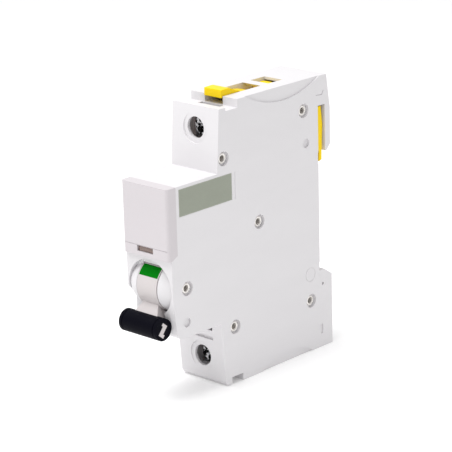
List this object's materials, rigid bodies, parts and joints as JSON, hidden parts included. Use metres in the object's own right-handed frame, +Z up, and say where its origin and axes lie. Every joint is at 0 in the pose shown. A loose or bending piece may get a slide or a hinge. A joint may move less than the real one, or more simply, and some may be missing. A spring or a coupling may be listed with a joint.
{
  "type": "circuit breaker",
  "caption": "Rail-mounted one-pole modular circuit breaker: riveted case, toggle with linked contacts, trip unit, arc chute, screw clamps and pull-out rail clips.",
  "frame": {"origin": "centre of the rail seat: the middle of the recess face that rests on the mounting rail", "axes": "+X to the right seen from the front, +Y back towards the rail, +Z up along the case height"},
  "size_m": [0.018, 0.0748, 0.0869],
  "materials": {
    "case_white": "fine moulded texture",
    "cap_white": "fine moulded texture",
    "toggle_white": "smooth moulded",
    "grip_black": "satin",
    "flag_green": "smooth",
    "flag_red": "smooth",
    "window_smoke": "smoked, translucent",
    "label_grey": "printed foil",
    "clip_yellow": "satin moulded",
    "rivet_steel": "rolled edge",
    "screw_steel": "dark zinc plating",
    "pin_steel": "ground",
    "spring_steel": "drawn wire",
    "copper": "plain copper strip",
    "winding_copper": "enamelled wire",
    "silver_contact": "silver alloy",
    "bimetal_strip": "rolled",
    "iron": "machined",
    "yoke_steel": "zinc plated",
    "plate_steel": "copper-flashed steel",
    "fibre": "vulcanised fibre",
    "bobbin_ivory": "moulded",
    "mechanism_grey": "glass-filled moulding",
    "lever_brown": "glass-filled moulding"
  },
  "bodies": {
    "case": {"left_case": "case_white", "right_case": "case_white", "nose_cap": "cap_white", "case_rivets": "rivet_steel", "trip_window": "window_smoke", "side_label": "label_grey", "toggle_spring": "spring_steel", "pivot_pins": "pin_steel", "contact_spring": "spring_steel", "fixed_contact": "copper", "fixed_contact_tip": "silver_contact", "coil": "winding_copper", "coil_bobbin": "bobbin_ivory", "plunger_spring": "spring_steel", "pole_piece": "iron", "yoke": "yoke_steel", "bimetal": "bimetal_strip", "bimetal_bracket": "copper", "calibration_screw": "bimetal_strip", "flexible_braid": "copper", "arc_plates": "plate_steel", "arc_chute_sides": "fibre", "arc_runner": "copper", "upper_terminal_bar": "copper", "lower_terminal_bar": "copper"},
    "toggle": {"toggle_drum": "toggle_white", "toggle_grip": "grip_black", "position_flag": "flag_green"},
    "drive_link": {"drive_link": "pin_steel"},
    "contact_carrier": {"contact_carrier": "mechanism_grey", "moving_contact": "copper", "moving_contact_tip": "silver_contact"},
    "plunger": {"plunger": "iron"},
    "trip_lever": {"trip_lever": "lever_brown"},
    "trip_flag": {"trip_flag": "flag_red"},
    "upper_clamp": {"upper_clamp_plate": "yoke_steel"},
    "upper_screw": {"upper_terminal_screw": "screw_steel"},
    "lower_clamp": {"lower_clamp_plate": "yoke_steel"},
    "lower_screw": {"lower_terminal_screw": "screw_steel"},
    "upper_clip": {"upper_clip": "clip_yellow"},
    "lower_clip": {"lower_clip": "clip_yellow"}
  },
  "joints": [
    {"name": "toggle_pivot", "type": "hinge", "parent": "case", "child": "toggle", "pos_m": [0, -0.0575, -0.008], "axis": [-1, 0, 0], "range_deg": [0, 85]},
    {"name": "link_pivot", "type": "hinge", "parent": "toggle", "child": "drive_link", "pos_m": [0, -0.05953, -0.00579], "axis": [-1, 0, 0], "range_deg": [-85.1, 0.1]},
    {"name": "carrier_pivot", "type": "hinge", "parent": "case", "child": "contact_carrier", "pos_m": [0, -0.039, 0.011], "axis": [1, 0, 0], "range_deg": [-0.1, 14.6]},
    {"name": "plunger_slide", "type": "slide", "parent": "case", "child": "plunger", "axis": [0, -1, 0], "range_m": [0, 0.0016], "stiffness_N_per_m": 60, "springref_m": -0.001, "deforming": ["plunger_spring"]},
    {"name": "trip_lever_pivot", "type": "hinge", "parent": "case", "child": "trip_lever", "pos_m": [0, -0.044, 0.014], "axis": [1, 0, 0], "range_deg": [-0.1, 19.6]},
    {"name": "trip_flag_slide", "type": "slide", "parent": "case", "child": "trip_flag", "axis": [0, 0, -1], "range_m": [-0.0001, 0.0021]},
    {"name": "upper_clamp_slide", "type": "slide", "parent": "case", "child": "upper_clamp", "axis": [0, 1, 0], "range_m": [0, 0.0027]},
    {"name": "upper_screw_turn", "type": "hinge", "parent": "upper_clamp", "child": "upper_screw", "pos_m": [0, -0.04, 0.0345], "axis": [0, 1, 0], "range_deg": [-1, 1390]},
    {"name": "lower_clamp_slide", "type": "slide", "parent": "case", "child": "lower_clamp", "axis": [0, 1, 0], "range_m": [0, 0.0027]},
    {"name": "lower_screw_turn", "type": "hinge", "parent": "lower_clamp", "child": "lower_screw", "pos_m": [0, -0.04, -0.0345], "axis": [0, 1, 0], "range_deg": [-1, 1390]},
    {"name": "upper_clip_slide", "type": "slide", "parent": "case", "child": "upper_clip", "axis": [0, 0, 1], "range_m": [0, 0.0026]},
    {"name": "lower_clip_slide", "type": "slide", "parent": "case", "child": "lower_clip", "axis": [0, 0, -1], "range_m": [0, 0.0026]}
  ],
  "couplings": [
    {"joint": "link_pivot", "follows": "toggle_pivot", "ratio": -1},
    {"joint": "carrier_pivot", "follows": "toggle_pivot", "ratio": 0.17123},
    {"joint": "trip_lever_pivot", "follows": "plunger_slide", "rad_per_m": 212.5},
    {"joint": "trip_flag_slide", "follows": "plunger_slide", "ratio": 1.25},
    {"joint": "upper_screw_turn", "follows": "upper_clamp_slide", "rad_per_m": 8976},
    {"joint": "lower_screw_turn", "follows": "lower_clamp_slide", "rad_per_m": 8976}
  ]
}
